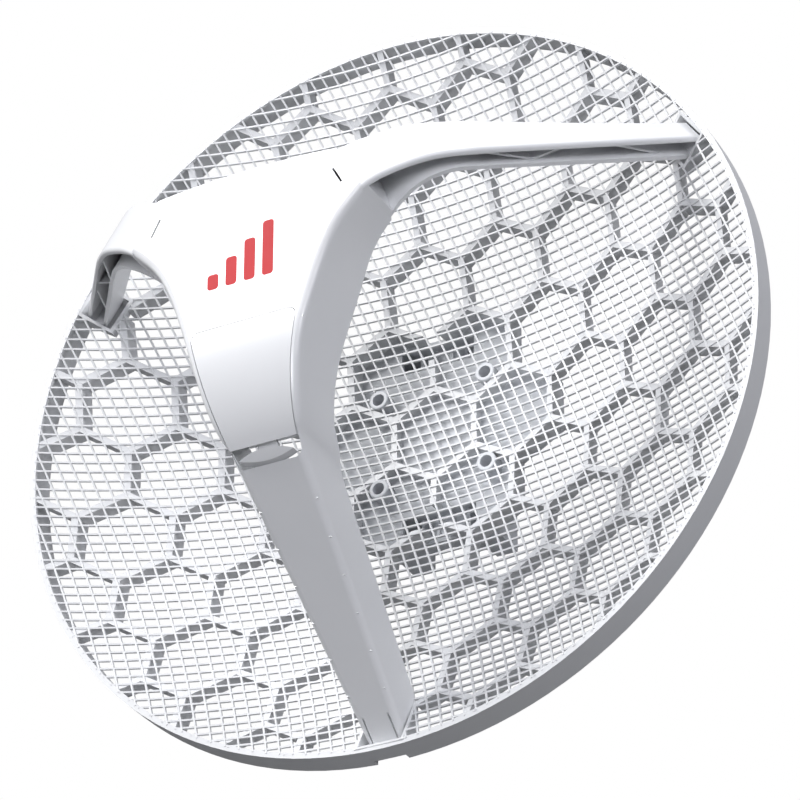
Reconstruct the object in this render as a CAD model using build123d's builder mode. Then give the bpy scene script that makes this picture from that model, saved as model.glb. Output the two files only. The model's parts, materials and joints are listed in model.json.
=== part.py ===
from build123d import *
import os
from math import cos, radians, sin, sqrt, tan

os.makedirs("parts", exist_ok=True)

# Parabolic grid antenna. Millimetres, +Z up, the dish looks along -Y.
# The origin is on the axis of the mast, level with the axis of the dish.

# ---------------------------------------------------------------- reflector
RIM_R = 195.5
RIM_INNER_R = 193.6
LIP_INNER_R = 192.6
RIM_FRONT = -90.5
RIM_BACK = -75.6
LIP_T = 2.0
NOTCH_W = 16.0
NOTCH_D = 4.0

APEX = -32.5
FOCAL = 160.5
FOUR_F = 4 * FOCAL

WIRE_W = 0.9
WIRE_D = 1.3
WIRE_END_R = 193.5
LEVEL_PITCH = 5.21
LEVEL_PHASE = 0.4
LEAN = 20.3
LEAN_PITCH = 5.86
LEAN_PHASE = -1.26
JOIN_GAP = 0.04

CELL = 43.65
SPLITS = (-3 * CELL, -CELL, CELL, 3 * CELL)
SIDE = CELL / sqrt(3)
ROW = SIDE * 1.5
RIB_T = 3.2
RIB_D = 10.0
RIB_R = 193.9

PLATE_FRONT = -27.5
PLATE_BACK = -25.0
BOSS_X = 29.25
BOSS_Z = 25.2
BOSS_D = 10.5
BOLT_D = 6.4
BOSS_TOP = -35.2
WINDOW_X = 20.0
WINDOW_LOW = 40.5
WINDOW_HIGH = 54.5

# ------------------------------------------------------------- mast cradle
MAST_R = 16.85
SADDLE_T = 2.6
CRADLE_X = 28.0
CRADLE_Z = 57.0
HORN_TIP = 1.5
WEB_T = 2.4
BAND_FLOOR = -20.2

# ------------------------------------------------- feed housing, lower arm
FEED_FRONT = -220.5
FEED_TOP = 40.0
BEND_R = 73.0
BEND_Z = -42.4
WALL = 2.0
SEAM = [(46.1, 38.4), (54.8, 29.0), (59.5, 12.9)]
NECK = [(59.5, 12.9), (47.8, 0.0), (42.2, -10.0), (34.8, -30.0), (26.6, -60.0), (19.8, -88.0)]
SEAM_IN = [(44.4, 36.6), (52.7, 28.1), (57.3, 13.9)]
NECK_IN = [(57.3, 13.9), (46.2, 1.2), (40.4, -9.2), (33.0, -29.2), (24.7, -59.4), (15.0, -99.8)]
NAPE = [(-191.5, 16), (-188.5, 2), (-184.5, -12), (-183.5, -30), (-183.0, -55), (-176.5, -78)]
FOOT_X = 9.2
FOOT_Z = -190.5
FOOT_END = -77.4
BEND_Y = FEED_FRONT + BEND_R
BEND_ANGLE = 50.8
BEND_END_Y = BEND_Y - BEND_R * cos(radians(BEND_ANGLE))
BEND_END_Z = BEND_Z - BEND_R * sin(radians(BEND_ANGLE))
SLOPE = tan(radians(BEND_ANGLE))
SHIN_X = 17.0
FEED_FILLET = 3.5
LID_T = 2.0
LID_SEAM = [(44.3, 36.5), (52.6, 28.0), (57.2, 14.0)]
LID_NECK = [(57.2, 14.0), (46.1, 1.3), (40.3, -9.1), (32.9, -29.1), (24.6, -59.3), (20.0, -78.0)]

MARK_HEIGHTS = (8.0, 15.0, 22.0, 29.0)
MARK_X = -16.0
MARK_Z = -19.0
MARK_PITCH = 9.4
MARK_W = 5.6
MARK_T = 0.12

# ------------------------------------------------------------- upper arms
ARM_AZ = 34.4
ARM_END_S = 189.4
ARM_END_Y = -77.4
ARM_CREST = [(50, -220.5), (57, -220.4), (65, -218.0), (75, -212.8), (91.5, -202.0), (103, -190.4), (114, -177.7)]
ARM_HEEL = [(50, -191.5), (63.9, -193.6), (76.1, -193.6), (90, -187.2), (100, -177.0), (109.1, -166.3)]
ARM_CREST_IN = [(58, -218.0), (64.2, -215.7), (74, -210.6), (90, -199.8), (101.3, -188.3), (112.15, -176.2)]
ARM_HEEL_IN = [(58, -194.0), (64, -195.8), (76.5, -195.8), (91, -189.2), (101.4, -178.6), (110.65, -167.6)]
ARM_WEB = [(101.0, -191.5), (122.9, -152.5), (146.4, -139.0), (170.0, -93.5)]
ARM_TIP_FRONT = (189.4, -86.0)
ARM_FILLET = 1.9
ARM_TIP_BACK_S = 181.0
RIB_ARM_T = 1.1

# ------------------------------------------------------------ door, latch
DOOR_TOP = -39.6
DOOR_BOTTOM = -99.0
DOOR_TOP_X = 27.3
DOOR_BOTTOM_X = 15.5
DOOR_GAP = 0.4
DOOR_T = 2.0
PANEL_END = 43.6
HINGE_Z = DOOR_TOP - DOOR_GAP - 3.2
HINGE_Y = FEED_FRONT + 1.3
PIN_R = 0.8
LATCH_PIN_R = 0.6

# ------------------------------------------------------------ electronics
PCB_FRONT = -202.5
PCB_T = 1.6
PCB_BACK = PCB_FRONT + PCB_T
PCB_TOP = 33.0
PCB_BOTTOM = -78.0
PATCH_Z = -3.0
PATCH_1 = -197.0
PATCH_2 = -194.4
JACK_Y = PCB_BACK + 6.7
JACK_Z = -68.5
BUTTON_R = 1.6
SCREW_HOLE_R = 1.3
SCREW_SPOTS = [(-30.0, 26.0), (30.0, 26.0), (-20.0, -34.0), (20.0, -34.0)]


def bowl(c, s):
    return APEX - (c * c + s * s) / FOUR_F


def bowl_pole(c, s0, s1):
    return APEX - (c * c + s0 * s1) / FOUR_F


def front_y(z):
    if z > BEND_Z:
        return FEED_FRONT
    if z > BEND_END_Z:
        return BEND_Y - sqrt(BEND_R**2 - (BEND_Z - z) ** 2)
    return BEND_END_Y + (BEND_END_Z - z) * SLOPE


def polar(radius, angle):
    a = radians(angle)
    return (BEND_Y - radius * cos(a), BEND_Z - radius * sin(a))


def in_arm_frame(point):
    a = radians(ARM_AZ)
    return (point[0] * cos(a) + point[1] * sin(a), point[1] * cos(a) - point[0] * sin(a))


def export(part, name):
    part.label = name
    export_step(part, "parts/" + name + ".step")


LATCH_AXIS = polar(68.6, 34.2)
ARM_S = Vector(cos(radians(ARM_AZ)), 0, sin(radians(ARM_AZ)))
ARM_T = Vector(-sin(radians(ARM_AZ)), 0, cos(radians(ARM_AZ)))
ARM_PLAN = Plane(origin=(0, 0, 0), x_dir=ARM_S, z_dir=(0, -1, 0))
ARM_SIDE = Plane(origin=(0, 0, 0), x_dir=ARM_S, z_dir=ARM_T)

# Space taken out of the grid where an arm ends: plan outline, then depth.
SOCKET_S = (173.5, 191.6)
SOCKET_T = (-26.2, -5.6)
SOCKET_X = 12.6
SOCKET_Z = (-193.4, -168.0)
SOCKET_WALL = 1.5
SOCKET_FLOOR = -75.7

# ==================================================================== rim
with BuildPart() as reflector_rim:
    with BuildSketch(Plane.XY):
        with BuildLine():
            Polyline(
                (LIP_INNER_R, RIM_FRONT),
                (RIM_R, RIM_FRONT),
                (RIM_R, RIM_BACK),
                (RIM_INNER_R, RIM_BACK),
                (RIM_INNER_R, RIM_FRONT + LIP_T),
                (LIP_INNER_R, RIM_FRONT + LIP_T),
                close=True,
            )
        make_face()
    revolve(axis=Axis.Y)
    with Locations((0, RIM_BACK, -RIM_R)):
        Box(NOTCH_W, 2 * NOTCH_D, 8, mode=Mode.SUBTRACT)
export(reflector_rim.part, "reflector_rim")

# ============================================================== grid wires
with BuildPart() as level_wires:
    for k in range(-38, 39):
        c = k * LEVEL_PITCH + LEVEL_PHASE
        if abs(c) > WIRE_END_R - 3:
            continue
        reach = sqrt(WIRE_END_R**2 - c * c)
        stops = [-reach] + [x for x in SPLITS if abs(x) < reach - 2] + [reach]
        for a, b in zip(stops, stops[1:]):
            s0 = a + JOIN_GAP / 2
            s1 = b - JOIN_GAP / 2
            mid = (s0 + s1) / 2
            with BuildSketch(Plane(origin=(0, 0, c), x_dir=(1, 0, 0), z_dir=(0, 0, 1))):
                with BuildLine():
                    front = Bezier((s0, bowl(c, s0)), (mid, bowl_pole(c, s0, s1)), (s1, bowl(c, s1)))
                    back = Bezier(
                        (s1, bowl(c, s1) + WIRE_D),
                        (mid, bowl_pole(c, s0, s1) + WIRE_D),
                        (s0, bowl(c, s0) + WIRE_D),
                    )
                    Line(front @ 1, back @ 0)
                    Line(back @ 1, front @ 0)
                make_face()
    extrude(amount=WIRE_W / 2, both=True)
    with Locations(Plane(origin=(0, 0, 0), x_dir=(1, 0, 0), z_dir=(0, -1, 0))):
        with Locations([(x, z) for x in (-BOSS_X, BOSS_X) for z in (-BOSS_Z, BOSS_Z)]):
            Cylinder(BOSS_D / 2 - 0.1, 120, mode=Mode.SUBTRACT)
    with BuildSketch(Plane.XZ):
        with Locations((0, sum(SOCKET_Z) / 2)):
            Rectangle(2 * SOCKET_X, SOCKET_Z[1] - SOCKET_Z[0])
    with BuildSketch(ARM_PLAN) as right_socket_plan:
        with Locations((sum(SOCKET_S) / 2, sum(SOCKET_T) / 2)):
            Rectangle(SOCKET_S[1] - SOCKET_S[0], SOCKET_T[1] - SOCKET_T[0])
    add(mirror(right_socket_plan.sketch, about=Plane.YZ))
    extrude(amount=120, dir=(0, -1, 0), mode=Mode.SUBTRACT)
export(level_wires.part, "grid_horizontal_wires")

LEAN_N = Vector(cos(radians(LEAN)), 0, sin(radians(LEAN)))
LEAN_S = Vector(sin(radians(LEAN)), 0, -cos(radians(LEAN)))

with BuildPart() as slanted_wires:
    for k in range(-34, 35):
        c = k * LEAN_PITCH + LEAN_PHASE
        if abs(c) > WIRE_END_R - 3:
            continue
        reach = sqrt(WIRE_END_R**2 - c * c)
        stops = [-reach] + [x for x in SPLITS if abs(x) < reach - 2] + [reach]
        for a, b in zip(stops, stops[1:]):
            s0 = a + JOIN_GAP / 2
            s1 = b - JOIN_GAP / 2
            mid = (s0 + s1) / 2
            with BuildSketch(Plane(origin=LEAN_N * c, x_dir=LEAN_S, z_dir=LEAN_N)):
                with BuildLine():
                    front = Bezier((s0, bowl(c, s0)), (mid, bowl_pole(c, s0, s1)), (s1, bowl(c, s1)))
                    back = Bezier(
                        (s1, bowl(c, s1) + WIRE_D),
                        (mid, bowl_pole(c, s0, s1) + WIRE_D),
                        (s0, bowl(c, s0) + WIRE_D),
                    )
                    Line(front @ 1, back @ 0)
                    Line(back @ 1, front @ 0)
                make_face()
    extrude(amount=WIRE_W / 2, both=True)
    with Locations(Plane(origin=(0, 0, 0), x_dir=(1, 0, 0), z_dir=(0, -1, 0))):
        with Locations([(x, z) for x in (-BOSS_X, BOSS_X) for z in (-BOSS_Z, BOSS_Z)]):
            Cylinder(BOSS_D / 2 - 0.1, 120, mode=Mode.SUBTRACT)
    with BuildSketch(Plane.XZ):
        with Locations((0, sum(SOCKET_Z) / 2)):
            Rectangle(2 * SOCKET_X, SOCKET_Z[1] - SOCKET_Z[0])
    with BuildSketch(ARM_PLAN) as right_socket_plan_2:
        with Locations((sum(SOCKET_S) / 2, sum(SOCKET_T) / 2)):
            Rectangle(SOCKET_S[1] - SOCKET_S[0], SOCKET_T[1] - SOCKET_T[0])
    add(mirror(right_socket_plan_2.sketch, about=Plane.YZ))
    extrude(amount=120, dir=(0, -1, 0), mode=Mode.SUBTRACT)
export(slanted_wires.part, "grid_slanted_wires")

# =========================================================== honeycomb ribs
# Each wall of the honeycomb is its own mitred plank, cut to the bowl.
SHOULDER = RIB_T / 2 / sqrt(3)
CORNERS = [(0, SIDE), (CELL / 2, SIDE / 2), (CELL / 2, -SIDE / 2)]

with BuildPart() as honeycomb_ribs:
    with BuildSketch(Plane.XZ):
        for row in range(-6, 7):
            for col in range(-6, 7):
                cx = col * CELL + (row % 2) * CELL / 2
                cz = row * ROW
                for edge in range(3):
                    angle = (60, 0, -60)[edge]
                    mx = cx + CELL / 2 * cos(radians(angle))
                    mz = cz + CELL / 2 * sin(radians(angle))
                    if sqrt(mx * mx + mz * mz) > RIB_R + 11:
                        continue
                    half = SIDE / 2 - JOIN_GAP
                    with BuildLine(Location((mx, mz, 0), (0, 0, angle + 90))):
                        Polyline(
                            (-half, 0),
                            (-half + SHOULDER, -RIB_T / 2),
                            (half - SHOULDER, -RIB_T / 2),
                            (half, 0),
                            (half - SHOULDER, RIB_T / 2),
                            (-half + SHOULDER, RIB_T / 2),
                            close=True,
                        )
                    make_face()
        Circle(RIB_R, mode=Mode.INTERSECT)
        with Locations((0, sum(SOCKET_Z) / 2)):
            Rectangle(2 * SOCKET_X, SOCKET_Z[1] - SOCKET_Z[0], mode=Mode.SUBTRACT)
        with Locations([(x, z) for x in (-BOSS_X, BOSS_X) for z in (-BOSS_Z, BOSS_Z)]):
            Circle(BOSS_D / 2 - 0.05, mode=Mode.SUBTRACT)
        with Locations([(0, z) for z in (-47.5, 47.5)]):
            Rectangle(2 * WINDOW_X, WINDOW_HIGH - WINDOW_LOW, mode=Mode.SUBTRACT)
    extrude(amount=120)
    with BuildSketch(ARM_PLAN) as rib_socket_plan:
        with Locations((sum(SOCKET_S) / 2, sum(SOCKET_T) / 2)):
            Rectangle(SOCKET_S[1] - SOCKET_S[0], SOCKET_T[1] - SOCKET_T[0])
    add(mirror(rib_socket_plan.sketch, about=Plane.YZ))
    extrude(amount=120, dir=(0, -1, 0), mode=Mode.SUBTRACT)
    with BuildSketch(Plane.XY):
        with BuildLine():
            top = Bezier((0, bowl(0, 0) + 0.6), (100, bowl_pole(0, 0, 200) + 0.6), (200, bowl(0, 200) + 0.6))
            deep = Bezier(
                (200, bowl(0, 200) + RIB_D),
                (134, bowl_pole(0, 68, 200) + RIB_D),
                (68, bowl(0, 68) + RIB_D),
            )
            Polyline(deep @ 1, (68, PLATE_FRONT), (0, PLATE_FRONT), top @ 0)
            Line(top @ 1, deep @ 0)
        make_face()
    revolve(axis=Axis.Y, mode=Mode.INTERSECT)
export(honeycomb_ribs.part, "honeycomb_ribs")

# =============================================================== hub plate
with BuildPart() as hub_plate:
    with BuildSketch(Plane.XZ.offset(-PLATE_BACK)):
        RegularPolygon(SIDE + RIB_T / 2, 6, rotation=30)
        with PolarLocations(CELL, 6):
            RegularPolygon(SIDE + RIB_T / 2, 6, rotation=30)
        with Locations([(0, z) for z in (-47.5, 47.5)]):
            Rectangle(2 * WINDOW_X, WINDOW_HIGH - WINDOW_LOW, mode=Mode.SUBTRACT)
    extrude(amount=PLATE_BACK - PLATE_FRONT)
    with BuildSketch(Plane.XZ.offset(-PLATE_BACK)):
        with Locations([(x, z) for x in (-BOSS_X, BOSS_X) for z in (-BOSS_Z, BOSS_Z)]):
            Circle(BOSS_D / 2)
    extrude(amount=PLATE_BACK - BOSS_TOP)
    fillet(hub_plate.faces().sort_by(Axis.Y)[:4].edges().filter_by(GeomType.CIRCLE), radius=0.8)
    with BuildSketch(Plane.XZ):
        with Locations([(x, z) for x in (-BOSS_X, BOSS_X) for z in (-BOSS_Z, BOSS_Z)]):
            Circle(BOLT_D / 2)
    extrude(amount=60, mode=Mode.SUBTRACT)
export(hub_plate.part, "hub_plate")

# ============================================================ mast cradle
with BuildPart() as mast_cradle:
    with BuildSketch(Plane.XY.offset(-CRADLE_Z)):
        with Locations((0, (PLATE_BACK + HORN_TIP) / 2)):
            Rectangle(2 * CRADLE_X, HORN_TIP - PLATE_BACK)
    extrude(amount=2 * CRADLE_Z)
    with BuildSketch(Plane.XZ):
        Rectangle(2 * (CRADLE_X - WEB_T), 2 * (CRADLE_Z - WEB_T))
    extrude(amount=60, both=True, mode=Mode.SUBTRACT)
    for z in (-38.0, -13.0, 13.0, 38.0):
        with BuildSketch(Plane.XY.offset(z - WEB_T / 2)):
            with Locations((0, (PLATE_BACK + HORN_TIP) / 2)):
                Rectangle(2 * CRADLE_X - 1, HORN_TIP - PLATE_BACK)
        extrude(amount=WEB_T)
    with BuildSketch(Plane.XY.offset(-CRADLE_Z)):
        Circle(MAST_R + SADDLE_T)
        with Locations((0, HORN_TIP + 50)):
            Rectangle(200, 100, mode=Mode.SUBTRACT)
    extrude(amount=2 * CRADLE_Z)
    for x in (-12.4, -4.2, 4.2, 12.4):
        with BuildSketch(Plane.YZ.offset(x)):
            with Locations([((BAND_FLOOR - 12) / 2, z) for z in (-47.5, 47.5)]):
                Rectangle(abs(BAND_FLOOR + 12), WINDOW_HIGH - WINDOW_LOW + 2)
        extrude(amount=0.8, both=True)
    with BuildSketch(Plane.XY.offset(-CRADLE_Z - 1)):
        Circle(MAST_R)
    extrude(amount=2 * CRADLE_Z + 2, mode=Mode.SUBTRACT)
    with BuildSketch(Plane.YZ):
        with Locations([((PLATE_BACK - 1 + BAND_FLOOR) / 2, z) for z in (-47.5, 47.5)]):
            Rectangle(BAND_FLOOR - PLATE_BACK + 1, WINDOW_HIGH - WINDOW_LOW)
    extrude(amount=40, both=True, mode=Mode.SUBTRACT)
    with BuildSketch(Plane.XZ):
        with Locations([(x, z) for x in (-BOSS_X, BOSS_X) for z in (-BOSS_Z, BOSS_Z)]):
            Circle(BOLT_D / 2 + 2.4)
    extrude(amount=60, both=True, mode=Mode.SUBTRACT)
    # Hairline joints beside the band tunnels, so that each tunnel's floor is its own piece.
    tunnel_low = WINDOW_LOW + JOIN_GAP / 2
    tunnel_high = WINDOW_HIGH - JOIN_GAP / 2
    with Locations([(0, 0, z) for z in (-tunnel_high, -tunnel_low, tunnel_low, tunnel_high)]):
        Box(3 * CRADLE_X, 3 * CRADLE_X, JOIN_GAP, mode=Mode.SUBTRACT)
export(mast_cradle.part, "mast_cradle")

# ============================================================ arm sockets
with BuildPart() as arm_sockets:
    with BuildSketch(Plane.XZ.offset(-SOCKET_FLOOR)):
        with Locations((0, sum(SOCKET_Z) / 2)):
            Rectangle(2 * SOCKET_X, SOCKET_Z[1] - SOCKET_Z[0])
    with BuildSketch(ARM_PLAN.offset(-SOCKET_FLOOR)) as right_socket:
        with Locations((sum(SOCKET_S) / 2, sum(SOCKET_T) / 2)):
            Rectangle(SOCKET_S[1] - SOCKET_S[0], SOCKET_T[1] - SOCKET_T[0])
    add(mirror(right_socket.sketch, about=Plane.YZ))
    extrude(amount=20, dir=(0, -1, 0))
    with BuildSketch(Plane.XZ.offset(-SOCKET_FLOOR + SOCKET_WALL)):
        with Locations((0, sum(SOCKET_Z) / 2)):
            Rectangle(2 * (SOCKET_X - SOCKET_WALL), SOCKET_Z[1] - SOCKET_Z[0] - 2 * SOCKET_WALL)
    with BuildSketch(ARM_PLAN.offset(-SOCKET_FLOOR + SOCKET_WALL)) as right_well:
        with Locations((sum(SOCKET_S) / 2, sum(SOCKET_T) / 2)):
            Rectangle(
                SOCKET_S[1] - SOCKET_S[0] - 2 * SOCKET_WALL,
                SOCKET_T[1] - SOCKET_T[0] - 2 * SOCKET_WALL,
            )
    add(mirror(right_well.sketch, about=Plane.YZ))
    extrude(amount=40, dir=(0, -1, 0), mode=Mode.SUBTRACT)
    with BuildSketch(Plane.XY):
        with BuildLine():
            lip = Bezier((0, bowl(0, 0)), (100, bowl_pole(0, 0, 200)), (200, bowl(0, 200)))
            Polyline(lip @ 1, (200, 0), (0, 0), lip @ 0)
        make_face()
    revolve(axis=Axis.Y, mode=Mode.INTERSECT)
    with BuildSketch(Plane.XZ):
        Circle(RIB_R)
    extrude(amount=120, mode=Mode.INTERSECT)
export(arm_sockets.part, "arm_sockets")

# ============================================ feed housing with lower arm
# Plan seen from the front, then the profile seen from the side.
with BuildSketch(Plane.XZ) as feed_outline:
    with BuildLine():
        brow = ThreePointArc((0, FEED_TOP + 0.6), (24, FEED_TOP + 0.2), SEAM[0])
        seam = ThreePointArc(SEAM[0], SEAM[1], SEAM[2])
        shin = Line((SHIN_X, BEND_END_Z), (FOOT_X, FOOT_Z))
        neck = Spline(*NECK, shin @ 0, tangents=((-0.72, -0.7), shin % 0))
        Polyline(shin @ 1, (0, FOOT_Z), (0, FEED_TOP + 0.6))
    make_face()
    mirror(about=Plane.YZ)

with BuildSketch(Plane.YZ.offset(-80)) as feed_profile:
    with BuildLine():
        bend = CenterArc((BEND_Y, BEND_Z), BEND_R, 180, BEND_ANGLE)
        Polyline(bend @ 0, (FEED_FRONT, 60), (NAPE[0][0], 60), NAPE[0])
        nape = Spline(*NAPE)
        Polyline(nape @ 1, (FOOT_END, -164.8), (FOOT_END, FOOT_Z), (front_y(FOOT_Z), FOOT_Z), bend @ 1)
    make_face()

# The opening for the door: its plan grown by the gap, only as deep as the skin.
with BuildPart() as door_cut:
    with BuildSketch(Plane.XZ):
        with BuildLine():
            Polyline(
                (-DOOR_TOP_X - DOOR_GAP, DOOR_TOP),
                (DOOR_TOP_X + DOOR_GAP, DOOR_TOP),
                (DOOR_BOTTOM_X + DOOR_GAP, DOOR_BOTTOM - DOOR_GAP),
                (-DOOR_BOTTOM_X - DOOR_GAP, DOOR_BOTTOM - DOOR_GAP),
                close=True,
            )
        door_hole = make_face()
        fillet(door_hole.vertices(), radius=4)
    extrude(amount=240)
    with BuildSketch(Plane.YZ.offset(-40)):
        with BuildLine():
            outer_cut = CenterArc((BEND_Y, BEND_Z), BEND_R + 3, 180, 60)
            inner_cut = CenterArc((BEND_Y, BEND_Z), BEND_R - DOOR_T - 0.6, 180, 60)
            Line(outer_cut @ 1, inner_cut @ 1)
            Polyline(
                outer_cut @ 0,
                (FEED_FRONT - 3, DOOR_TOP + 5),
                (FEED_FRONT + DOOR_T + 0.6, DOOR_TOP + 5),
                inner_cut @ 0,
            )
        make_face()
    extrude(amount=80, mode=Mode.INTERSECT)

with BuildPart() as feed_cavity:
    with BuildSketch(Plane.XZ):
        with BuildLine():
            inner_brow = ThreePointArc((0, FEED_TOP + 0.6 - WALL), (24, FEED_TOP + 0.2 - WALL), SEAM_IN[0])
            ThreePointArc(SEAM_IN[0], SEAM_IN[1], SEAM_IN[2])
            inner_neck = Spline(*NECK_IN)
            Polyline(inner_neck @ 1, (FOOT_X - WALL, FOOT_Z + WALL), (0, FOOT_Z + WALL), inner_brow @ 0)
        make_face()
        mirror(about=Plane.YZ)
    extrude(amount=240)
    with BuildSketch(Plane.YZ.offset(-80)):
        with BuildLine():
            inner_bend = CenterArc((BEND_Y, BEND_Z), BEND_R - WALL, 180, BEND_ANGLE)
            Polyline(inner_bend @ 1, (-60, -204.2), (0, -204.2), (0, 60), (FEED_FRONT + WALL, 60), inner_bend @ 0)
        make_face()
    extrude(amount=160, mode=Mode.INTERSECT)

with BuildPart() as feed_housing:
    add(feed_outline.sketch)
    extrude(amount=240, dir=(0, -1, 0))
    add(feed_profile.sketch)
    extrude(amount=160, dir=(1, 0, 0), mode=Mode.INTERSECT)
    long_edges = feed_housing.edges().filter_by(lambda e: e.center().Z < 12 and abs(e.center().X) > 5)
    fillet(long_edges.filter_by(lambda e: abs(e.center().Y - front_y(e.center().Z)) < 1.5), radius=FEED_FILLET)
    add(feed_cavity.part, mode=Mode.SUBTRACT)
    # Screw posts behind the face.
    with BuildSketch(Plane.XZ.offset(-PCB_FRONT)):
        with Locations(SCREW_SPOTS):
            Circle(3.2)
    extrude(amount=abs(FEED_FRONT - PCB_FRONT) - 1)
    with BuildSketch(Plane.XZ.offset(-PCB_FRONT)):
        with Locations(SCREW_SPOTS):
            Circle(SCREW_HOLE_R)
    extrude(amount=11, mode=Mode.SUBTRACT)
    # Bearing blocks for the door pins.
    with Locations([(x, FEED_FRONT + 3.4, HINGE_Z) for x in (-28.6, 28.6)]):
        Box(2.4, 4, 5)
    # Stiffening ribs across the lower arm.
    for z in (-112.0, -124.0, -136.0, -148.0, -160.0, -172.0):
        depth = front_y(z) + 1
        half = FOOT_X + (z - FOOT_Z) * (SHIN_X - FOOT_X) / (BEND_END_Z - FOOT_Z) - 1
        with Locations((0, depth + 5, z)):
            Box(2 * half, 10, 1.4)
    add(door_cut.part, mode=Mode.SUBTRACT)
    with Locations([(x, HINGE_Y, HINGE_Z) for x in (-27.35, 27.35)]):
        Cylinder(PIN_R + 0.06, 3.1, rotation=(0, 90, 0), mode=Mode.SUBTRACT)
    # Snap slots beside the seams and at the foot.
    with BuildSketch(Plane.XZ.offset(-FEED_FRONT - 6)):
        with Locations(Location((47.2, 23.5), 27.4), Location((-47.2, 23.5), -27.4)):
            Rectangle(1.1, 9.6)
    extrude(amount=10, mode=Mode.SUBTRACT)
    with BuildSketch(Plane.XZ):
        with Locations((-6.4, -186), (6.4, -186)):
            Rectangle(0.8, 12)
    extrude(amount=120, mode=Mode.SUBTRACT)
export(feed_housing.part, "feed_housing")

# ================================================== printed mark: rising bars
with BuildPart() as signal_mark:
    with BuildSketch(Plane.XZ.offset(-FEED_FRONT)):
        for k, height in enumerate(MARK_HEIGHTS):
            with Locations((MARK_X + k * MARK_PITCH, MARK_Z + height / 2)):
                RectangleRounded(MARK_W, height, 1.6)
    extrude(amount=MARK_T)
export(signal_mark.part, "signal_mark")

# ===================================================== cover behind the head
with BuildPart() as feed_back_cover:
    with BuildSketch(Plane.XZ):
        with BuildLine():
            lid_brow = ThreePointArc((0, FEED_TOP + 0.5 - WALL), (24, FEED_TOP + 0.1 - WALL), LID_SEAM[0])
            ThreePointArc(LID_SEAM[0], LID_SEAM[1], LID_SEAM[2])
            lid_neck = Spline(*LID_NECK)
            Polyline(lid_neck @ 1, (0, LID_NECK[-1][1]), lid_brow @ 0)
        make_face()
        mirror(about=Plane.YZ)
    extrude(amount=240)
    with BuildSketch(Plane.YZ.offset(-80)):
        with BuildLine():
            outer_nape = Spline(*NAPE)
            inner_nape = Spline(*[(y - LID_T, z) for y, z in NAPE])
            Polyline(outer_nape @ 0, (NAPE[0][0], 60), (NAPE[0][0] - LID_T, 60), inner_nape @ 0)
            Line(outer_nape @ 1, inner_nape @ 1)
        make_face()
    extrude(amount=160, mode=Mode.INTERSECT)
export(feed_back_cover.part, "feed_back_cover")

# ============================================================== upper arms
# The right arm is drawn in its own slanting frame; the left one mirrors it.
with BuildPart() as arm_blank:
    with BuildSketch(ARM_PLAN):
        with BuildLine():
            root = ThreePointArc(in_arm_frame(SEAM[0]), in_arm_frame(SEAM[1]), in_arm_frame(SEAM[2]))
            low = Spline(root @ 1, (75, -22.2), (100, -23.2), (130, -23.7), (ARM_END_S, -23.8))
            high = Spline((ARM_END_S, -9.4), (158.5, -6.1), (137, -2.9), (117, 0.3), (95, 3.2), (75, 5.0), root @ 0)
            Line(low @ 1, high @ 0)
        make_face()
    extrude(amount=240)
    with BuildSketch(ARM_SIDE.offset(-60)):
        with BuildLine():
            crest_line = Line(ARM_CREST[-1], ARM_TIP_FRONT)
            crest = Spline(*ARM_CREST, tangents=((1, 0), crest_line % 0))
            heel = Spline(*ARM_HEEL)
            Polyline(crest @ 0, (40, FEED_FRONT), (40, NAPE[0][0]), heel @ 0)
            Polyline(crest_line @ 1, (ARM_END_S, ARM_END_Y), (ARM_TIP_BACK_S, ARM_END_Y), heel @ 1)
        make_face()
    extrude(amount=120, mode=Mode.INTERSECT)
    fillet(arm_blank.edges().filter_by(lambda e: e.length > 66 and e.center().Y < -130), radius=ARM_FILLET)

with BuildPart() as arm_cavity:
    with BuildSketch(ARM_PLAN):
        with BuildLine():
            ceiling = Spline((186.8, -11.6), (158.5, -8.5), (137, -5.3), (117, -2.1), (95, 0.8), (64.4, 2.6))
            Polyline(ceiling @ 1, (64.3, -7), (59.2, -23), (58, -34), (186.8, -34), ceiling @ 0)
        make_face()
    extrude(amount=240)
    with BuildSketch(ARM_SIDE.offset(-60)):
        with BuildLine():
            inner_crest = Spline(*ARM_CREST_IN)
            inner_heel = Spline(*ARM_HEEL_IN)
            Line(inner_crest @ 0, inner_heel @ 0)
            Polyline(inner_crest @ 1, (187.5, -84.5), (187.5, -81.0), (181.0, -81.0), inner_heel @ 1)
        make_face()
    extrude(amount=120, mode=Mode.INTERSECT)

# Zig-zag web inside the channel, running from one long wall to the other.
with BuildPart() as arm_web:
    with BuildSketch(ARM_SIDE.offset(-20.6)):
        with BuildLine() as web_line:
            Polyline(*ARM_WEB)
        trace(web_line.line, line_width=RIB_ARM_T)
    extrude(amount=40)
    add(arm_blank.part, mode=Mode.INTERSECT)

with BuildPart() as right_support_arm:
    add(arm_blank.part)
    add(arm_cavity.part, mode=Mode.SUBTRACT)
    add(arm_web.part)
export(right_support_arm.part, "right_support_arm")

with BuildPart() as left_support_arm:
    add(mirror(right_support_arm.part, about=Plane.YZ))
export(left_support_arm.part, "left_support_arm")

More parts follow.
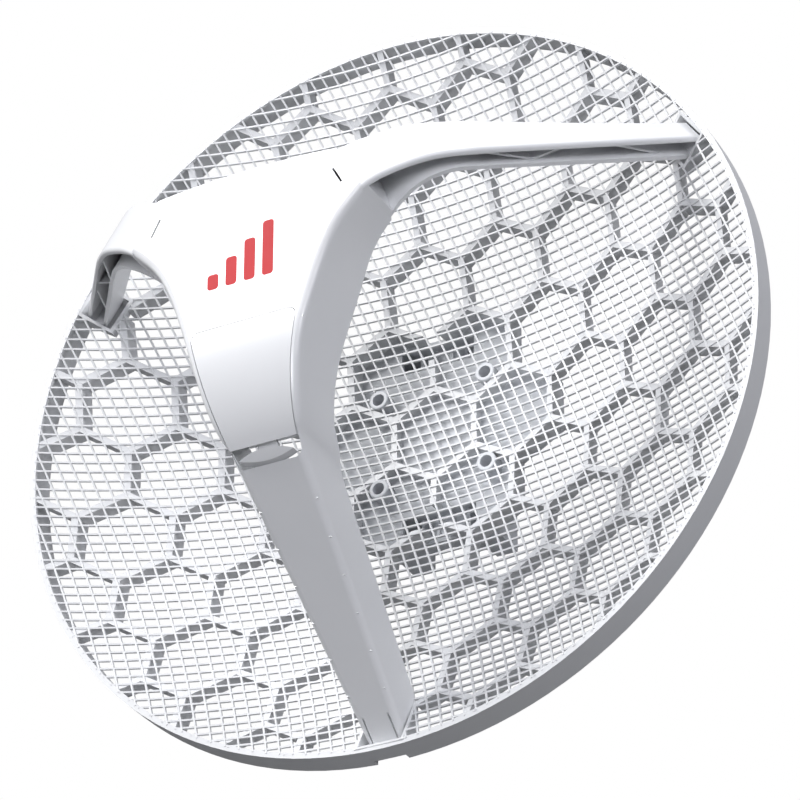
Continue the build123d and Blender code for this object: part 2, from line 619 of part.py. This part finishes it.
# ============================================================= access door
with BuildPart() as access_door:
    with BuildSketch(Plane.XZ):
        with BuildLine():
            Polyline(
                (-DOOR_TOP_X, DOOR_TOP - DOOR_GAP),
                (DOOR_TOP_X, DOOR_TOP - DOOR_GAP),
                (DOOR_BOTTOM_X, DOOR_BOTTOM),
                (-DOOR_BOTTOM_X, DOOR_BOTTOM),
                close=True,
            )
        door_plan = make_face()
        fillet(door_plan.vertices(), radius=3.7)
    extrude(amount=240)
    with BuildSketch(Plane.YZ.offset(-40)):
        with BuildLine():
            skin = CenterArc((BEND_Y, BEND_Z), BEND_R, 180, PANEL_END)
            lining = CenterArc((BEND_Y, BEND_Z), BEND_R - DOOR_T, 180, PANEL_END)
            Line(skin @ 1, lining @ 1)
            Polyline(skin @ 0, (FEED_FRONT, -39), (FEED_FRONT + DOOR_T, -39), lining @ 0)
        make_face()
    extrude(amount=80, mode=Mode.INTERSECT)
    # Hinge pins in short pads, and the two ears that carry the latch.
    with Locations([(x, FEED_FRONT + 2.5, HINGE_Z) for x in (-24, 24)]):
        Box(4, 1.4, 3.2)
    with Locations([(x, HINGE_Y, HINGE_Z) for x in (-27.25, 27.25)]):
        Cylinder(PIN_R, 2.9, rotation=(0, 90, 0))
    for x in (-6.9, 5.3):
        with BuildSketch(Plane.YZ.offset(x)):
            with BuildLine():
                Polyline(polar(71.4, 32.6), polar(67.2, 33.0), polar(67.2, 35.4), polar(71.4, 35.8), close=True)
            make_face()
        extrude(amount=1.6)
    with Locations((0, *LATCH_AXIS)):
        Cylinder(LATCH_PIN_R + 0.05, 20, rotation=(0, 90, 0), mode=Mode.SUBTRACT)
export(access_door.part, "access_door")

# ============================================================== door latch
with BuildPart() as door_latch:
    with BuildSketch(Plane.XZ):
        with BuildLine():
            ThreePointArc((-13.8, -97.2), (0, -95.0), (13.8, -97.2))
            ThreePointArc((13.8, -97.2), (0, -98.9), (-13.8, -97.2))
        make_face()
    extrude(amount=240)
    with BuildSketch(Plane.YZ.offset(-20)):
        with BuildLine():
            brim = CenterArc((BEND_Y, BEND_Z), BEND_R + 1.2, 180 + 42, 10)
            root_arc = CenterArc((BEND_Y, BEND_Z), BEND_R - 1.6, 180 + 42, 10)
            Line(brim @ 0, root_arc @ 0)
            Line(brim @ 1, root_arc @ 1)
        make_face()
    extrude(amount=40, mode=Mode.INTERSECT)
    with BuildSketch(Plane.YZ.offset(-5)):
        with BuildLine():
            over = CenterArc((BEND_Y, BEND_Z), 69.2, 180 + 34.2, 14.6)
            under = CenterArc((BEND_Y, BEND_Z), 68.0, 180 + 34.2, 14.6)
            Line(over @ 0, under @ 0)
            Line(over @ 1, under @ 1)
        make_face()
        with BuildLine():
            Polyline(polar(68.0, 47.4), polar(72.0, 47.4), polar(72.0, 48.8), polar(68.0, 48.8), close=True)
        make_face()
        with Locations(LATCH_AXIS):
            Circle(1.1)
    extrude(amount=10)
    with Locations((0, *LATCH_AXIS)):
        Cylinder(LATCH_PIN_R, 14.4, rotation=(0, 90, 0))
export(door_latch.part, "door_latch")

# =============================================================== electronics
with BuildPart() as main_pcb:
    with BuildSketch(Plane.XZ.offset(-PCB_BACK)):
        with BuildLine():
            Polyline(
                (-36, PCB_TOP), (36, PCB_TOP), (36, 14), (28, -4), (26, -40), (18, PCB_BOTTOM),
                (-18, PCB_BOTTOM), (-26, -40), (-28, -4), (-36, 14), close=True,
            )
        board = make_face()
        fillet(board.vertices(), radius=2)
        with Locations(SCREW_SPOTS):
            Circle(1.4, mode=Mode.SUBTRACT)
    extrude(amount=PCB_T)
export(main_pcb.part, "main_pcb")

with BuildPart() as pcb_screws:
    with BuildSketch(Plane.XZ.offset(-PCB_BACK)):
        with Locations(SCREW_SPOTS):
            Circle(2.3)
    extrude(amount=-1.7)
    fillet(pcb_screws.faces().sort_by(Axis.Y)[-4:].edges(), radius=0.6)
    with BuildSketch(Plane.XZ.offset(-PCB_BACK)):
        with Locations(SCREW_SPOTS):
            Circle(1.25)
    extrude(amount=10)
    with BuildSketch(Plane.XZ.offset(-PCB_BACK - 0.7)):
        with Locations(SCREW_SPOTS):
            Rectangle(2.4, 0.5)
            Rectangle(0.5, 2.4)
    extrude(amount=-3, mode=Mode.SUBTRACT)
export(pcb_screws.part, "pcb_screws")

with BuildPart() as driven_patch:
    with BuildSketch(Plane.XZ.offset(-PATCH_1)):
        with Locations((0, PATCH_Z)):
            RectangleRounded(30, 30, 1.5)
        with Locations([(x, PATCH_Z + z) for x in (-11, 11) for z in (-11, 11)]):
            Circle(1.2, mode=Mode.SUBTRACT)
    extrude(amount=0.5)
    with BuildSketch(Plane.XZ.offset(-PCB_BACK)):
        with Locations((-6, PATCH_Z), (0, PATCH_Z - 6)):
            Circle(0.6)
    extrude(amount=PATCH_1 - 0.4 - PCB_BACK, dir=(0, 1, 0))
export(driven_patch.part, "driven_patch")

with BuildPart() as director_patch:
    with BuildSketch(Plane.XZ.offset(-PATCH_2)):
        with Locations((0, PATCH_Z)):
            RectangleRounded(26.5, 26.5, 1.5)
    extrude(amount=0.5)
export(director_patch.part, "director_patch")

with BuildPart() as patch_standoffs:
    with BuildSketch(Plane.XZ.offset(-PCB_BACK)):
        with Locations([(x, PATCH_Z + z) for x in (-11, 11) for z in (-11, 11)]):
            Circle(1.2)
    extrude(amount=PATCH_2 - 0.5 - PCB_BACK, dir=(0, 1, 0))
export(patch_standoffs.part, "patch_standoffs")

with BuildPart() as rf_shield:
    with Locations((0, PCB_FRONT - 1.7, -14)):
        Box(28, 3.4, 24)
    fillet(rf_shield.edges().filter_by(Axis.Y), radius=1)
    with Locations((0, PCB_FRONT - 1.5, -14)):
        Box(27.2, 3.0, 23.2, mode=Mode.SUBTRACT)
    with Locations((0, PCB_FRONT - 3.2, -14)):
        with GridLocations(5, 1, 5, 1):
            Cylinder(0.7, 2, rotation=(90, 0, 0), mode=Mode.SUBTRACT)
export(rf_shield.part, "rf_shield")

with BuildPart() as processor:
    with Locations((-5, PCB_FRONT - 0.55, -13)):
        Box(12, 1.1, 12)
    chamfer(processor.edges().filter_by(Axis.Y), length=0.5)
export(processor.part, "processor")

with BuildPart() as thermal_pad:
    with Locations((-5, PCB_FRONT - 2.05, -13)):
        Box(11, 1.9, 11)
    fillet(thermal_pad.edges().filter_by(Axis.Y), radius=0.8)
export(thermal_pad.part, "thermal_pad")

with BuildPart() as memory_chip:
    with Locations((7.5, PCB_FRONT - 0.6, -13)):
        Box(6, 1.0, 9)
    with Locations([(x, PCB_FRONT - 0.25, z) for x in (3.8, 11.2) for z in (-15, -13.7, -12.4, -11.1)]):
        Box(1.4, 0.5, 0.4)
export(memory_chip.part, "memory_chip")

with BuildPart() as ethernet_jack:
    with Locations((0, JACK_Y, JACK_Z)):
        Box(16, 13.4, 21)
    fillet(ethernet_jack.edges().filter_by(Axis.Z), radius=0.6)
    with Locations((0, JACK_Y - 0.6, JACK_Z - 4)):
        Box(11.8, 8.2, 21, mode=Mode.SUBTRACT)
    with Locations((0, JACK_Y + 4.2, JACK_Z - 4)):
        Box(6.2, 2.4, 21, mode=Mode.SUBTRACT)
export(ethernet_jack.part, "ethernet_jack")

with BuildPart() as jack_contacts:
    for k in range(8):
        x = (k - 3.5) * 1.02
        with BuildSketch(Plane.YZ.offset(x - 0.2)):
            with BuildLine():
                top = JACK_Z + 6.5
                Polyline(
                    (JACK_Y - 4.7, top), (JACK_Y - 1.9, top - 9), (JACK_Y - 2.5, top - 9.2),
                    (JACK_Y - 4.7, top - 2.2), close=True,
                )
            make_face()
        extrude(amount=0.4)
export(jack_contacts.part, "jack_contacts")

with BuildPart() as lan_transformer:
    with Locations((0, PCB_BACK + 2.6, -46)):
        Box(12.7, 5.2, 15)
    chamfer(lan_transformer.faces().sort_by(Axis.Y)[-1].edges(), length=0.5)
export(lan_transformer.part, "lan_transformer")

with BuildPart() as power_inductor:
    with Locations((10, PCB_FRONT - 0.4, -52)):
        Box(7.3, 0.8, 7.3)
    with Locations((10, PCB_FRONT - 2.2, -52)):
        Cylinder(3.4, 2.8, rotation=(90, 0, 0))
export(power_inductor.part, "power_inductor")

with BuildPart() as capacitors:
    with Locations([(x, PCB_FRONT - 2.9, z) for x, z in ((-12, -46), (-12, -54), (18, 8), (-18, 8))]):
        Cylinder(2.5, 5.8, rotation=(90, 0, 0))
    fillet(capacitors.faces().sort_by(Axis.Y)[:4].edges(), radius=0.5)
    with Locations([(x, PCB_FRONT - 0.4, z) for x in (-4, -1.5, 1, 3.5) for z in (-34, -39)]):
        Box(1.2, 0.8, 2)
export(capacitors.part, "capacitors")

with BuildPart() as status_leds:
    with Locations([(x, PCB_FRONT - 0.4, -60) for x in (-6, -3, 0, 3, 6)]):
        Box(0.9, 0.8, 1.6)
export(status_leds.part, "status_leds")

with BuildPart() as light_guide:
    with Locations((0, PCB_FRONT - 2.5, -60)):
        Box(14, 2.8, 2.4)
    fillet(light_guide.edges().filter_by(Axis.Z), radius=0.8)
export(light_guide.part, "light_guide")

with BuildPart() as reset_switch:
    with Locations((9, PCB_FRONT - 1.3, -68)):
        Box(5.2, 2.6, 5.2)
    chamfer(reset_switch.faces().sort_by(Axis.Y)[0].edges(), length=0.3)
    with BuildSketch(Plane.XZ.offset(-PCB_FRONT + 0.8)):
        with Locations((9, -68)):
            Circle(BUTTON_R + 0.06)
    extrude(amount=5, mode=Mode.SUBTRACT)
export(reset_switch.part, "reset_switch")

with BuildPart() as reset_button:
    with BuildSketch(Plane.XZ.offset(-PCB_FRONT + 1.3)):
        with Locations((9, -68)):
            Circle(BUTTON_R)
    extrude(amount=2.6)
    fillet(reset_button.faces().sort_by(Axis.Y)[0].edges(), radius=0.4)
export(reset_button.part, "reset_button")
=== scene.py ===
"""Looks of the parabolic grid antenna: moulded plastic finishes, studio, camera."""

import json
import math

import bpy
from mathutils import Matrix, Vector

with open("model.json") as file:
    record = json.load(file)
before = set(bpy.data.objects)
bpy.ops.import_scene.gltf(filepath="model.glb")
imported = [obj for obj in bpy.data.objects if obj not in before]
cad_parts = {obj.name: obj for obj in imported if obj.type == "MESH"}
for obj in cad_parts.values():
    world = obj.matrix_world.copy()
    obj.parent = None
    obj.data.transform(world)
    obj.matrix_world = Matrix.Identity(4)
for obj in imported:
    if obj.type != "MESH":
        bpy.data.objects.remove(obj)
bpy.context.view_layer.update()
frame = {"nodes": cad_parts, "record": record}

MM = 0.001

# Noise scales, in features per metre.
FLOW_SCALE = 22.0
WEAR_SCALE = 140.0
STREAK_SCALE = 900.0
TRACK_SCALE = 260.0
HAZE_SCALE = 400.0


# ------------------------------------------------------------------ materials
def new_material(name):
    """A node material with its Principled shader, ready for links."""
    mat = bpy.data.materials.new(name)
    mat.use_nodes = True
    nodes = mat.node_tree.nodes
    return mat, nodes, mat.node_tree.links, nodes["Principled BSDF"]


def noise(nodes, links, coords, scale, detail=4.0, roughness=0.55):
    """A noise texture in object space; scale is in features per metre."""
    tex = nodes.new("ShaderNodeTexNoise")
    tex.inputs["Scale"].default_value = scale
    tex.inputs["Detail"].default_value = detail
    tex.inputs["Roughness"].default_value = roughness
    links.new(coords.outputs["Object"], tex.inputs["Vector"])
    return tex


def ramp(nodes, links, source, stops):
    """A colour ramp over a texture's first output; stops are (position, colour)."""
    node = nodes.new("ShaderNodeValToRGB")
    node.color_ramp.elements[0].position, node.color_ramp.elements[0].color = stops[0]
    node.color_ramp.elements[1].position, node.color_ramp.elements[1].color = stops[-1]
    for position, colour in stops[1:-1]:
        node.color_ramp.elements.new(position).color = colour
    links.new(source, node.inputs["Fac"])
    return node


def grey(value, tint=0.0):
    """A near-neutral colour, a little cooler as tint grows."""
    return (value * (1 - tint), value * (1 - tint * 0.6), value, 1.0)


def moulded(name, light, dark, rough, grain, grain_depth, coat=0.0):
    """Moulded plastic: faint flow marks in its colour, fine grain and uneven gloss."""
    mat, nodes, links, shader = new_material(name)
    coords = nodes.new("ShaderNodeTexCoord")
    flow = noise(nodes, links, coords, FLOW_SCALE, detail=3.0)
    colour = ramp(nodes, links, flow.outputs["Fac"], [(0.3, dark), (0.7, light)])
    links.new(colour.outputs["Color"], shader.inputs["Base Color"])
    wear = noise(nodes, links, coords, WEAR_SCALE, detail=6.0)
    gloss = nodes.new("ShaderNodeMapRange")
    gloss.inputs["To Min"].default_value = rough * 0.93
    gloss.inputs["To Max"].default_value = rough * 1.07
    links.new(wear.outputs["Fac"], gloss.inputs["Value"])
    links.new(gloss.outputs["Result"], shader.inputs["Roughness"])
    fine = noise(nodes, links, coords, grain, detail=2.0)
    bump = nodes.new("ShaderNodeBump")
    bump.inputs["Strength"].default_value = 0.15
    bump.inputs["Distance"].default_value = grain_depth
    links.new(fine.outputs["Fac"], bump.inputs["Height"])
    links.new(bump.outputs["Normal"], shader.inputs["Normal"])
    shader.inputs["Coat Weight"].default_value = coat
    shader.inputs["Coat Roughness"].default_value = 0.12
    return mat


def metal(name, light, dark, rough, brush=1.0):
    """Sheet or plated metal with brushed streaks along one axis."""
    mat, nodes, links, shader = new_material(name)
    coords = nodes.new("ShaderNodeTexCoord")
    mapping = nodes.new("ShaderNodeMapping")
    mapping.inputs["Scale"].default_value = (1.0, 1.0, brush)
    links.new(coords.outputs["Object"], mapping.inputs["Vector"])
    streak = nodes.new("ShaderNodeTexNoise")
    streak.inputs["Scale"].default_value = STREAK_SCALE
    streak.inputs["Detail"].default_value = 5.0
    links.new(mapping.outputs["Vector"], streak.inputs["Vector"])
    colour = ramp(nodes, links, streak.outputs["Fac"], [(0.25, dark), (0.75, light)])
    links.new(colour.outputs["Color"], shader.inputs["Base Color"])
    gloss = nodes.new("ShaderNodeMapRange")
    gloss.inputs["To Min"].default_value = rough * 0.75
    gloss.inputs["To Max"].default_value = rough * 1.3
    links.new(streak.outputs["Fac"], gloss.inputs["Value"])
    links.new(gloss.outputs["Result"], shader.inputs["Roughness"])
    shader.inputs["Metallic"].default_value = 1.0
    return mat


def laminate(name):
    """Green solder mask with faint copper tracks running under it."""
    mat, nodes, links, shader = new_material(name)
    coords = nodes.new("ShaderNodeTexCoord")
    tracks = nodes.new("ShaderNodeTexBrick")
    tracks.inputs["Scale"].default_value = TRACK_SCALE
    tracks.inputs["Mortar Size"].default_value = 0.06
    tracks.inputs["Color1"].default_value = (0.010, 0.085, 0.035, 1)
    tracks.inputs["Color2"].default_value = (0.012, 0.100, 0.042, 1)
    tracks.inputs["Mortar"].default_value = (0.025, 0.170, 0.070, 1)
    turn = nodes.new("ShaderNodeMapping")
    turn.inputs["Rotation"].default_value = (math.pi / 2, 0, 0)
    links.new(coords.outputs["Object"], turn.inputs["Vector"])
    links.new(turn.outputs["Vector"], tracks.inputs["Vector"])
    links.new(tracks.outputs["Color"], shader.inputs["Base Color"])
    bump = nodes.new("ShaderNodeBump")
    bump.inputs["Strength"].default_value = 0.3
    bump.inputs["Distance"].default_value = 0.03 * MM
    links.new(tracks.outputs["Fac"], bump.inputs["Height"])
    links.new(bump.outputs["Normal"], shader.inputs["Normal"])
    shader.inputs["Roughness"].default_value = 0.32
    return mat


def clear(name, tint):
    """Clear moulded acrylic with a trace of haze."""
    mat, nodes, links, shader = new_material(name)
    coords = nodes.new("ShaderNodeTexCoord")
    haze = noise(nodes, links, coords, HAZE_SCALE)
    gloss = nodes.new("ShaderNodeMapRange")
    gloss.inputs["To Min"].default_value = 0.06
    gloss.inputs["To Max"].default_value = 0.2
    links.new(haze.outputs["Fac"], gloss.inputs["Value"])
    links.new(gloss.outputs["Result"], shader.inputs["Roughness"])
    shader.inputs["Base Color"].default_value = tint
    shader.inputs["Transmission Weight"].default_value = 0.8
    shader.inputs["IOR"].default_value = 1.49
    return mat


FINISHES = {
    "grid_plastic": moulded("grid plastic", grey(0.76, 0.02), grey(0.73, 0.025), 0.42, 1500.0, 0.05 * MM),
    # The hub is the same white casting as the grid; its darker, cooler colour is painted shade for the
    # shadow that the wires and head cast on it.
    "hub_plastic": moulded("hub plastic with painted shade", grey(0.68, 0.06), grey(0.65, 0.065), 0.45, 1500.0, 0.05 * MM),
    "feed_plastic": moulded(
        "feed plastic", grey(0.84, 0.02), grey(0.82, 0.025), 0.30, 2600.0, 0.02 * MM, coat=0.25
    ),
    "circuit_board": laminate("circuit board"),
    "steel_screw": metal("zinc steel", grey(0.68), grey(0.48), 0.32, brush=0.2),
    "tinned_sheet": metal("tinned sheet", grey(0.74), grey(0.58), 0.34, brush=0.05),
    "jack_shell": metal("jack shell", grey(0.72), grey(0.56), 0.30, brush=0.05),
    "capacitor_can": metal("capacitor can", grey(0.78), grey(0.62), 0.28, brush=0.3),
    "gold_contact": metal("gold contact", (0.9, 0.68, 0.3, 1), (0.72, 0.5, 0.2, 1), 0.22, brush=0.2),
    "nylon": moulded("nylon", (0.84, 0.82, 0.76, 1), (0.78, 0.76, 0.70, 1), 0.5, 1800.0, 0.04 * MM),
    "chip_epoxy": moulded("chip epoxy", grey(0.035), grey(0.020), 0.55, 4200.0, 0.03 * MM),
    "thermal_silicone": moulded(
        "thermal pad", (0.32, 0.4, 0.5, 1), (0.27, 0.34, 0.44, 1), 0.75, 1500.0, 0.1 * MM
    ),
    "ferrite": moulded("ferrite", grey(0.06), grey(0.04), 0.6, 2500.0, 0.06 * MM),
    "led_lens": clear("led lens", (0.85, 1.0, 0.88, 1)),
    "clear_guide": clear("light guide", (0.95, 0.98, 1.0, 1)),
    "button_plastic": moulded("button plastic", grey(0.05), grey(0.035), 0.42, 2500.0, 0.04 * MM),
    "signal_ink": moulded(
        "signal ink", (0.55, 0.012, 0.018, 1), (0.50, 0.010, 0.015, 1), 0.62, 3000.0, 0.02 * MM
    ),
}

for entry in frame["record"]["subparts"]:
    mesh = frame["nodes"][entry["node"]].data
    mesh.materials.clear()
    mesh.materials.append(FINISHES[entry["material_slot"]])

# --------------------------------------------------------------------- camera
CAMERA_AT = Vector((0.71165, -1.44463, -0.92846))
AIM = Vector((0.01144, -0.09050, -0.01547))
ROLL = math.radians(0.19)
LENS = 168.8

back = (CAMERA_AT - AIM).normalized()
right = Vector((0, 0, 1)).cross(back).normalized()
up = back.cross(right)
turn = Matrix((right, up, back)).transposed() @ Matrix.Rotation(-ROLL, 3, "Z")
lens = bpy.data.cameras.new("camera")
lens.lens = LENS
lens.sensor_width = 36.0
camera = bpy.data.objects.new("camera", lens)
camera.matrix_world = Matrix.Translation(CAMERA_AT) @ turn.to_4x4()
bpy.context.scene.collection.objects.link(camera)
bpy.context.scene.camera = camera

# --------------------------------------------------------------------- studio
FLOOR_Z = -2.40
FLOOR_HALF = 1.5
MOTTLE_SCALE = 6.0


def floor_material():
    """Pale matt paper with a faint mottle."""
    mat, nodes, links, shader = new_material("pale floor")
    coords = nodes.new("ShaderNodeTexCoord")
    mottle = noise(nodes, links, coords, MOTTLE_SCALE)
    colour = ramp(nodes, links, mottle.outputs["Fac"], [(0.3, grey(0.80)), (0.7, grey(0.84))])
    links.new(colour.outputs["Color"], shader.inputs["Base Color"])
    shader.inputs["Roughness"].default_value = 0.85
    return mat


floor_mesh = bpy.data.meshes.new("floor")
corners = [(x * FLOOR_HALF, y * FLOOR_HALF, FLOOR_Z) for x, y in ((-1, -1), (1, -1), (1, 1), (-1, 1))]
floor_mesh.from_pydata(corners, [], [(0, 1, 2, 3)])
floor_mesh.materials.append(floor_material())
floor = bpy.data.objects.new("floor", floor_mesh)
bpy.context.scene.collection.objects.link(floor)


LIT_POINT = Vector((0, -0.1, 0))
NEUTRAL = (1.0, 1.0, 1.0)
COOL = (0.93, 0.94, 1.0)


def area_light(name, at, size, power, spread, colour=NEUTRAL):
    """A soft square light facing the object, its beam spread degrees wide."""
    data = bpy.data.lights.new(name, "AREA")
    data.color = colour
    data.spread = math.radians(spread)
    data.size = size
    data.energy = power
    lamp = bpy.data.objects.new(name, data)
    facing = (LIT_POINT - Vector(at)).to_track_quat("-Z", "Y")
    lamp.matrix_world = Matrix.Translation(at) @ facing.to_matrix().to_4x4()
    bpy.context.scene.collection.objects.link(lamp)


area_light("key", (-0.9, -2.3, 1.7), 1.2, 11.5, 70.0)
area_light("top", (-0.1, -0.2, 2.4), 1.6, 6.0, 80.0)
area_light("rim", (-2.2, -0.6, 0.5), 1.2, 1.5, 80.0)
area_light("fill", (2.3, -0.9, 0.5), 1.2, 3.6, 70.0, COOL)
area_light("low front", (0.5, -2.6, -0.7), 1.0, 3.5, 60.0, COOL)

# The sky is dark below the horizon and brightens upwards; the backdrop itself shows white.
SKY_DARK_BELOW = -0.15
SKY_FULL_ABOVE = 0.7
SKY_TOP = 0.50
SKY_BOTTOM = 0.0

world = bpy.data.worlds.new("studio")
bpy.context.scene.world = world
world.use_nodes = True
sky_nodes = world.node_tree.nodes
sky_links = world.node_tree.links
sky = sky_nodes["Background"]
sky.inputs["Color"].default_value = (*COOL, 1.0)
direction = sky_nodes.new("ShaderNodeTexCoord")
split = sky_nodes.new("ShaderNodeSeparateXYZ")
dome = sky_nodes.new("ShaderNodeMapRange")
dome.inputs["From Min"].default_value = SKY_DARK_BELOW
dome.inputs["From Max"].default_value = SKY_FULL_ABOVE
dome.inputs["To Min"].default_value = SKY_BOTTOM
dome.inputs["To Max"].default_value = SKY_TOP
sky_links.new(direction.outputs["Generated"], split.inputs["Vector"])
sky_links.new(split.outputs["Z"], dome.inputs["Value"])
sky_links.new(dome.outputs["Result"], sky.inputs["Strength"])
white = sky_nodes.new("ShaderNodeBackground")
white.inputs["Color"].default_value = (*NEUTRAL, 1.0)
path = sky_nodes.new("ShaderNodeLightPath")
choose = sky_nodes.new("ShaderNodeMixShader")
sky_links.new(path.outputs["Is Camera Ray"], choose.inputs["Fac"])
sky_links.new(sky.outputs["Background"], choose.inputs[1])
sky_links.new(white.outputs["Background"], choose.inputs[2])
sky_links.new(choose.outputs["Shader"], sky_nodes["World Output"].inputs["Surface"])
bpy.context.scene.view_settings.view_transform = "Standard"
